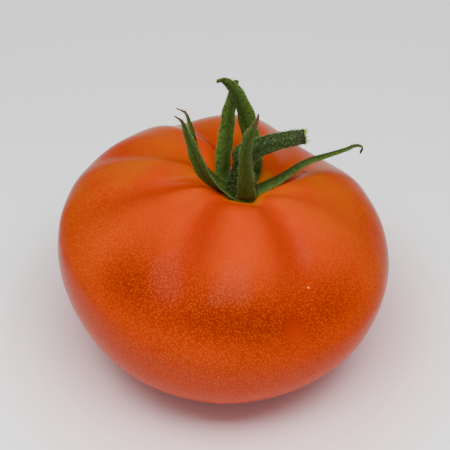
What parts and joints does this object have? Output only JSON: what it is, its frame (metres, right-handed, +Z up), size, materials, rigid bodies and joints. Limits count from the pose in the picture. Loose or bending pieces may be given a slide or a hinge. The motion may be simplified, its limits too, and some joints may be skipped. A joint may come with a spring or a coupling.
{
  "type": "tomato",
  "caption": "Whole ribbed beefsteak tomato, orange-red, with upright green sepals and a short hairy cut stem bent over to one side; rests on a small flat spot.",
  "frame": {"origin": "middle of the small flat spot under the fruit, on the surface that it rests on", "axes": "+Z up, +X towards the cut end of the stem, -Y towards the front"},
  "size_m": [0.0857, 0.0878, 0.087],
  "materials": {
    "tomato_skin": "waxy orange-red skin with fine yellow-orange flecks, satin gloss",
    "sepal": "matte dark green leaf with fine pale hairs, dry brown tips",
    "stem": "matte green stem with short pale hairs, pale pith at the cut end"
  },
  "bodies": {
    "root": {"fruit": "tomato_skin", "calyx": "sepal", "stem": "stem"}
  },
  "joints": []
}
